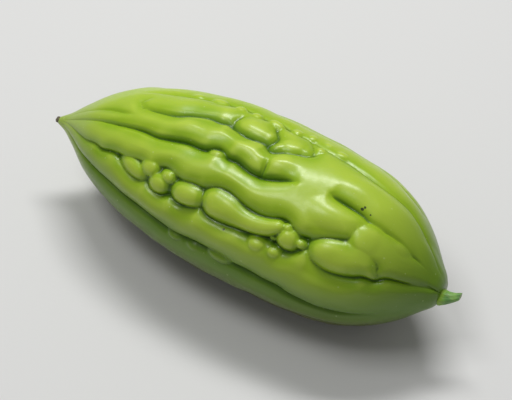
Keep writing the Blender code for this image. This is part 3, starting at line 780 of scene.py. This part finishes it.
# %% Helpers for nodes
def node(tree, kind, settings=None, **inputs):
    """Adds a node. Settings are its options, and inputs are values or outputs for its sockets."""
    made = tree.nodes.new(kind)
    for option, value in (settings or {}).items():
        setattr(made, option, value)
    for label, value in inputs.items():
        socket = made.inputs[int(label[1:])] if label[1:].isdigit() else made.inputs[label.replace("_", " ")]
        if isinstance(value, bpy.types.NodeSocket):
            tree.links.new(value, socket)
        else:
            socket.default_value = value
    return made


def maths(tree, operation, *values, clamp=False):
    """A sum, product or other operation on one to three numbers."""
    inputs = {f"n{i}": value for i, value in enumerate(values)}
    return node(tree, "ShaderNodeMath", {"operation": operation, "use_clamp": clamp}, **inputs).outputs[0]


def between(tree, value, low, high, to_low=0.0, to_high=1.0):
    """Maps a number smoothly from one range to another."""
    options = {"interpolation_type": "SMOOTHSTEP"}
    made = node(tree, "ShaderNodeMapRange", options, Value=value, n1=low, n2=high, n3=to_low, n4=to_high)
    return made.outputs[0]


def noise(tree, place, scale, detail, roughness=0.5):
    """A cloudy number that changes over the surface, in so many patches per metre."""
    made = node(tree, "ShaderNodeTexNoise", Vector=place, Scale=scale, Detail=detail, Roughness=roughness)
    return made.outputs[0]


def stored(tree, name):
    """A number that the mesh carries on its points."""
    return node(tree, "ShaderNodeAttribute", {"attribute_name": name}).outputs["Fac"]


def blended(tree, share, first, second):
    """Mixes two colours by a share. A Mix node has its colours at sockets 6 and 7."""
    made = node(tree, "ShaderNodeMix", {"data_type": "RGBA"}, n0=share)
    for index, value in ((6, first), (7, second)):
        if isinstance(value, bpy.types.NodeSocket):
            tree.links.new(value, made.inputs[index])
        else:
            made.inputs[index].default_value = (*value, 1)
    return made.outputs[2]


def new_group(name, inputs, outputs):
    """A shader node group with named inputs and outputs: (name, socket type, value)."""
    tree = bpy.data.node_groups.new(name, "ShaderNodeTree")
    for label, kind, value in inputs:
        socket = tree.interface.new_socket(label, in_out="INPUT", socket_type=kind)
        if value is not None:
            socket.default_value = value
    for label, kind in outputs:
        tree.interface.new_socket(label, in_out="OUTPUT", socket_type=kind)
    return tree, tree.nodes.new("NodeGroupInput"), tree.nodes.new("NodeGroupOutput")


def new_material(name):
    """An empty material with a Principled shader, its tree and the object's own coordinates."""
    made = bpy.data.materials.new(name)
    made.use_nodes = True
    shader = made.node_tree.nodes["Principled BSDF"]
    place = made.node_tree.nodes.new("ShaderNodeTexCoord").outputs["Object"]
    return made, made.node_tree, shader, place


def roughen(tree, shader, height, strength, distance):
    """Gives a finish small bumps."""
    bump = node(tree, "ShaderNodeBump", Strength=strength, Distance=distance, Height=height)
    tree.links.new(bump.outputs[0], shader.inputs["Normal"])


def give(shader, finish):
    """Sets the values of a finish that are the same all over the surface."""
    for label, value in finish.items():
        shader.inputs[label].default_value = value


# %% [markdown]
# ## Effects that several finishes share
# Plant skin is never one colour: it drifts slowly between a yellower and a bluer green, and it is sprinkled
# with tiny pale pores. Both effects are node groups. All three finishes use the drift, each at its own
# scale and with its own two colours, and the fruit alone has the pores.

# %% Drifting colour
DRIFT_EDGES = (0.32, 0.68)


def make_drift():
    """A group that mixes two colours by slow, cloudy patches."""
    tree, given, result = new_group(
        "drifting_colour",
        [("Vector", "NodeSocketVector", None), ("Patches per metre", "NodeSocketFloat", 30.0),
         ("First", "NodeSocketColor", None), ("Second", "NodeSocketColor", None)],
        [("Color", "NodeSocketColor")],
    )
    scale = given.outputs["Patches per metre"]
    cloud = noise(tree, given.outputs["Vector"], scale, detail=4.0, roughness=0.55)
    share = between(tree, cloud, *DRIFT_EDGES)
    tree.links.new(blended(tree, share, given.outputs["First"], given.outputs["Second"]), result.inputs[0])
    return tree


DRIFT = make_drift()


# %% Pale pores
SMALLEST_PORE = 0.5
PORE_EDGE = 0.5


def make_pores():
    """A group that gives a mask of small, scattered round dots."""
    tree, given, result = new_group(
        "pale_pores",
        [("Vector", "NodeSocketVector", None), ("Dots per metre", "NodeSocketFloat", 300.0),
         ("Dot size", "NodeSocketFloat", 0.12), ("Share with a dot", "NodeSocketFloat", 0.4)],
        [("Mask", "NodeSocketFloat")],
    )
    cells = node(tree, "ShaderNodeTexVoronoi", {"feature": "F1"}, Vector=given.outputs["Vector"],
                 Scale=given.outputs["Dots per metre"])
    lot = node(tree, "ShaderNodeSeparateColor", {}, Color=cells.outputs["Color"])
    has_dot = maths(tree, "LESS_THAN", lot.outputs[0], given.outputs["Share with a dot"])
    share = maths(tree, "ADD", lot.outputs[1], SMALLEST_PORE)
    size = maths(tree, "MULTIPLY", given.outputs["Dot size"], share)
    rim = maths(tree, "SUBTRACT", 1.0, maths(tree, "DIVIDE", cells.outputs["Distance"], size), clamp=True)
    tree.links.new(maths(tree, "MULTIPLY", between(tree, rim, 0.0, PORE_EDGE), has_dot), result.inputs[0])
    return tree


PORES = make_pores()


def use_group(tree, group, **inputs):
    """Adds a node group to a material and feeds its inputs."""
    return node(tree, "ShaderNodeGroup", {"node_tree": group}, **inputs)


print("shared effects:", DRIFT.name, "and", PORES.name)

# %% [markdown]
# ## The skin of the fruit
# The skin is waxy: under a thin glossy coat the flesh glows a little, because light enters it and comes out
# again nearby. Its colour drifts slowly and follows the relief: paler on the ridges, partly with painted
# light, a deep green low in the valleys and darkest in the folds, partly with painted shade. It is paler at
# the nose and darker at the stalk's end. Painted shade darkens the lower flanks, and painted shade and a
# painted reflection make it olive under the belly. It carries pale pores and a few small blemishes.

# %% Colours of the skin
# paler on the crests: partly the skin's own paler tone, partly painted light on the crests
RIDGE_GREEN_AND_LIGHT = (0.50, 0.65, 0.070)
SKIN_GREEN = (0.35, 0.52, 0.018)
LUSH_GREEN = (0.27, 0.46, 0.010)
# deep green low in the valleys: partly the skin's own colour, partly painted shade
DEEP_GREEN_AND_SHADE = (0.10, 0.235, 0.003)
# darkest in the folds: partly the skin's own colour, partly painted shade in the creases
FOLD_GREEN_AND_SHADE = (0.040, 0.125, 0.001)
# painted shade on the lower flanks, darker towards the ground
PAINTED_FLANK_SHADE = (0.085, 0.19, 0.003)
# painted shade and a painted olive reflection under the belly
BELLY_SHADE_AND_REFLECTION = (0.075, 0.068, 0.004)
NOSE_GREEN = (0.42, 0.56, 0.090)
STALK_END_GREEN = (0.15, 0.255, 0.008)
PORE_PALE = (0.66, 0.76, 0.36)
BLEMISH_BROWN = (0.045, 0.07, 0.012)

# small blemishes: distance from the nose, heading, radius in millimetres
BLEMISHES = ((146.6, 7.2, 0.55), (147.4, 5.6, 0.4), (150.5, 8, 0.3), (97.5, 63.5, 0.4), (118, 300, 0.6),
             (74, 205, 0.5))
SPOT_RAGS_PER_METRE = 1400.0
SPOT_RAGGEDNESS = 2
SPOT_EDGE = 0.45


def skin_point(at, heading):
    """The place of a point on the fruit, in metres."""
    s, y, z = fruit_place(np.array([at / LENGTH]), np.array([float(heading)]))
    return Vector((float(s[0]), float(y[0]), float(z[0]))) * MM + Vector(SETTLED)


def spot_mask(tree, place, at, heading, size):
    """A soft-edged ragged spot round one point of the skin."""
    ragged = noise(tree, place, SPOT_RAGS_PER_METRE, detail=2.0)
    away = node(tree, "ShaderNodeVectorMath", {"operation": "DISTANCE"}, n0=place, n1=skin_point(at, heading))
    edge = maths(tree, "MULTIPLY", ragged, SPOT_RAGGEDNESS * size * MM)
    past = maths(tree, "SUBTRACT", away.outputs["Value"], edge)
    return between(tree, past, 0.0, SPOT_EDGE * size * MM, 1.0, 0.0)


# %% The fruit's material
# What a colour follows, the reading where it sets in and the one where it is strongest, its strongest
# share, and the colour. Each one lies over those before it.
SKIN_LAYERS = (
    # these two layers: paler ridges, partly the skin's own tone and partly painted light
    ("sunken", 0.20, 0.0, 0.55, RIDGE_GREEN_AND_LIGHT),
    ("hollow", 0.46, 0.30, 0.6, RIDGE_GREEN_AND_LIGHT),
    # deep green in the valleys, partly painted shade
    ("sunken", 0.22, 0.85, 0.8, DEEP_GREEN_AND_SHADE),
    ("along", 0.80, 0.98, 0.9, STALK_END_GREEN),
    # dark folds, partly painted shade
    ("hollow", 0.62, 1.05, 0.85, FOLD_GREEN_AND_SHADE),
    # painted shade on the lower flanks
    ("height", 0.060, 0.033, 0.85, PAINTED_FLANK_SHADE),
    # painted shade and a painted reflection under the belly
    ("height", 0.036, 0.012, 0.85, BELLY_SHADE_AND_REFLECTION),
    ("along", 0.16, 0.0, 0.7, NOSE_GREEN),
)
PORE_SHARE = 0.25
GRAIN_BUMP = 0.7
FINE_BUMP = 0.3
PORE_BUMP = 0.35
GRAIN_RANGE = (0.3, 0.7)
SKIN_ROUGHNESS = (0.29, 0.39)
SKIN_FINISH = {
    "Specular IOR Level": 0.42,
    "Subsurface Weight": 0.22,
    "Subsurface Radius": (0.9, 1.0, 0.25),
    "Subsurface Scale": 0.0022,
    "Coat Weight": 0.14,
    "Coat Roughness": 0.2,
}


def make_fruit_skin():
    """Waxy, glossy yellow-green skin."""
    made, tree, shader, place = new_material("waxy_green_skin")
    reading = {name: stored(tree, name) for name in ("hollow", "sunken", "along")}
    reading["height"] = node(tree, "ShaderNodeSeparateXYZ", Vector=place).outputs[2]
    colour = use_group(tree, DRIFT, Vector=place, Patches_per_metre=26.0, First=(*SKIN_GREEN, 1),
                       Second=(*LUSH_GREEN, 1)).outputs[0]
    for name, low, high, share, layer in SKIN_LAYERS:
        colour = blended(tree, between(tree, reading[name], low, high, 0.0, share), colour, layer)
    pores = use_group(tree, PORES, Vector=place, Dots_per_metre=330.0, Dot_size=0.13,
                      Share_with_a_dot=0.35).outputs[0]
    colour = blended(tree, maths(tree, "MULTIPLY", pores, PORE_SHARE), colour, PORE_PALE)
    for at, heading, size in BLEMISHES:
        colour = blended(tree, spot_mask(tree, place, at, heading, size), colour, BLEMISH_BROWN)
    tree.links.new(colour, shader.inputs["Base Color"])
    grain = noise(tree, place, scale=420.0, detail=3.0, roughness=0.6)
    bumps = maths(tree, "MULTIPLY", grain, GRAIN_BUMP)
    fine = noise(tree, place, scale=1500.0, detail=2.0)
    bumps = maths(tree, "ADD", bumps, maths(tree, "MULTIPLY", fine, FINE_BUMP))
    bumps = maths(tree, "ADD", bumps, maths(tree, "MULTIPLY", pores, PORE_BUMP))
    roughen(tree, shader, bumps, strength=0.35, distance=0.0002)
    tree.links.new(between(tree, grain, *GRAIN_RANGE, *SKIN_ROUGHNESS), shader.inputs["Roughness"])
    give(shader, SKIN_FINISH)
    return made


fruit_mesh.materials.append(make_fruit_skin())
print("skin has", len(BLEMISHES), "blemishes")

# %% [markdown]
# ## The stalk's and the scar's finish
# The stalk is a deeper green with pale fibres along it, and its cut end shows paler, moist flesh. The scar
# is dry tissue: brown, matt and wrinkled.

# %% The stalk's material
STALK_GREEN = (0.095, 0.25, 0.045)
STALK_YOUNG = (0.20, 0.40, 0.07)
CUT_PALE = (0.36, 0.46, 0.19)
# the readings where a colour sets in and is strongest, and its shares there
LUSH_ROOT = (0.35, -0.05, 0.0, 0.85)
PALE_FIBRES = (0.5, 0.75, 0.0, 0.4)
FIBRES_PER_METRE = (180, 1500, 1500)
STALK_FINISH = {"Roughness": 0.46, "Subsurface Weight": 0.12, "Subsurface Scale": 0.001}


def make_stalk_skin():
    """Satin green stalk with fibres and a paler cut."""
    made, tree, shader, place = new_material("fibrous_green_stalk")
    colour = use_group(tree, DRIFT, Vector=place, Patches_per_metre=260.0, First=(*STALK_GREEN, 1),
                       Second=(*STALK_YOUNG, 1)).outputs[0]
    colour = blended(tree, between(tree, stored(tree, "along"), *LUSH_ROOT), colour, LUSH_GREEN)
    stretched = node(tree, "ShaderNodeMapping", Vector=place, Scale=FIBRES_PER_METRE).outputs[0]
    fibres = noise(tree, stretched, scale=1.0, detail=3.0)
    colour = blended(tree, between(tree, fibres, *PALE_FIBRES), colour, CUT_PALE)
    colour = blended(tree, stored(tree, "cut"), colour, CUT_PALE)
    tree.links.new(colour, shader.inputs["Base Color"])
    roughen(tree, shader, fibres, strength=0.5, distance=0.0002)
    give(shader, STALK_FINISH)
    return made


stalk_mesh.materials.append(make_stalk_skin())
print("stalk finish", stalk_mesh.materials[0].name)

# %% The scar's material
SCAR_BROWN = (0.055, 0.045, 0.022)
SCAR_GREY = (0.19, 0.17, 0.105)
SCAR_FINISH = {"Roughness": 0.85}


def make_dry_scar():
    """Dry, wrinkled brown tissue."""
    made, tree, shader, place = new_material("dry_brown_scar")
    colour = use_group(tree, DRIFT, Vector=place, Patches_per_metre=900.0, First=(*SCAR_BROWN, 1),
                       Second=(*SCAR_GREY, 1)).outputs[0]
    tree.links.new(colour, shader.inputs["Base Color"])
    wrinkles = noise(tree, place, scale=2600.0, detail=3.0)
    roughen(tree, shader, wrinkles, strength=0.8, distance=0.0003)
    give(shader, SCAR_FINISH)
    return made


scar_mesh.materials.append(make_dry_scar())
print("scar finish", scar_mesh.materials[0].name)

# %% [markdown]
# ## The floor
# The gourd lies on a plain pale floor. It is far larger than the gourd, so that no edge shows from any
# side.

# %% A pale floor
FLOOR_HALF = 6.0
FLOOR_COLOUR = (0.72, 0.72, 0.71)
FLOOR_DRIFT = 0.012
FLOOR_FINISH = {"Roughness": 0.7}


def make_floor():
    """One large pale square at the height of the ground."""
    bm = bmesh.new()
    bmesh.ops.create_grid(bm, x_segments=1, y_segments=1, size=FLOOR_HALF)
    mesh = bpy.data.meshes.new("pale_floor")
    bm.to_mesh(mesh)
    bm.free()
    made, tree, shader, place = new_material("pale_floor")
    cloud = noise(tree, place, scale=3.0, detail=2.0)
    paler = tuple(part + FLOOR_DRIFT for part in FLOOR_COLOUR)
    tree.links.new(blended(tree, cloud, FLOOR_COLOUR, paler), shader.inputs["Base Color"])
    give(shader, FLOOR_FINISH)
    mesh.materials.append(made)
    floor = bpy.data.objects.new("pale_floor", mesh)
    bpy.context.scene.collection.objects.link(floor)


make_floor()
print("floor", 2 * FLOOR_HALF, "m wide")

# %% [markdown]
# ## Light
# A broad soft light hangs above the gourd, a little behind it and to its left, which draws long soft
# highlights on the upper shoulders of the ribs. A weaker one, high up in front and to the left, opens the
# shadows, and a pale sky fills the rest.

# %% Soft lights and sky
SKY_STRENGTH = 0.22
LIGHT_AIM = (0, 0, 0.03)
# name, place, width and depth, power
SOFT_LIGHTS = (
    ("window_behind", (-0.2, 0.46, 1.1), (0.62, 0.22), 8.5),
    ("front_fill", (-0.34, -0.3, 1.35), (0.6, 0.4), 5),
)


def soft_light(name, place, size, power):
    """A rectangular soft light at a place, turned to the gourd."""
    light = bpy.data.lights.new(name, "AREA")
    light.shape = "RECTANGLE"
    light.size, light.size_y = size
    light.energy = power
    lamp = bpy.data.objects.new(name, light)
    lamp.location = place
    lamp.rotation_euler = (Vector(LIGHT_AIM) - Vector(place)).to_track_quat("-Z", "Y").to_euler()
    lamp.visible_camera = False
    bpy.context.scene.collection.objects.link(lamp)


for values in SOFT_LIGHTS:
    soft_light(*values)
sky = bpy.data.worlds.new("pale_sky")
sky.use_nodes = True
sky.node_tree.nodes["Background"].inputs["Color"].default_value = (1, 1, 1, 1)
sky.node_tree.nodes["Background"].inputs["Strength"].default_value = SKY_STRENGTH
bpy.context.scene.world = sky
bpy.context.scene.view_settings.view_transform = "Standard"
print(len(SOFT_LIGHTS), "soft lights and a sky")

# %% [markdown]
# ## Camera
# The camera looks down on the gourd from a little to its right, about a metre away, as in the photograph. A
# long lens brings the gourd close to the frame, and a slight roll keeps the slant of its body.

# %% The photograph's viewing angle
CAMERA_AZIMUTH = 27.5
CAMERA_ELEVATION = 50.85
CAMERA_DISTANCE = 1.065
CAMERA_ROLL = 2.1
CAMERA_LENS = 178.0
CAMERA_AIM = (0.0, 0.0, 0.0373)
CAMERA_CLIP = (0.05, 30)


def make_camera(aim):
    """A camera at the photograph's angle, turned to its aim."""
    turn = np.radians(CAMERA_AZIMUTH)
    lift = np.radians(CAMERA_ELEVATION)
    back = Vector((np.sin(turn) * np.cos(lift), -np.cos(turn) * np.cos(lift), np.sin(lift)))
    data = bpy.data.cameras.new("camera")
    data.lens = CAMERA_LENS
    data.clip_start, data.clip_end = CAMERA_CLIP
    camera = bpy.data.objects.new("camera", data)
    camera.location = Vector(aim) + back * CAMERA_DISTANCE
    camera.rotation_euler = (-back).to_track_quat("-Z", "Y").to_euler()
    camera.rotation_euler.rotate_axis("Z", np.radians(CAMERA_ROLL))
    bpy.context.scene.collection.objects.link(camera)
    bpy.context.scene.camera = camera
    return camera


camera = make_camera(CAMERA_AIM)
print("camera at", [round(x, 3) for x in camera.location])
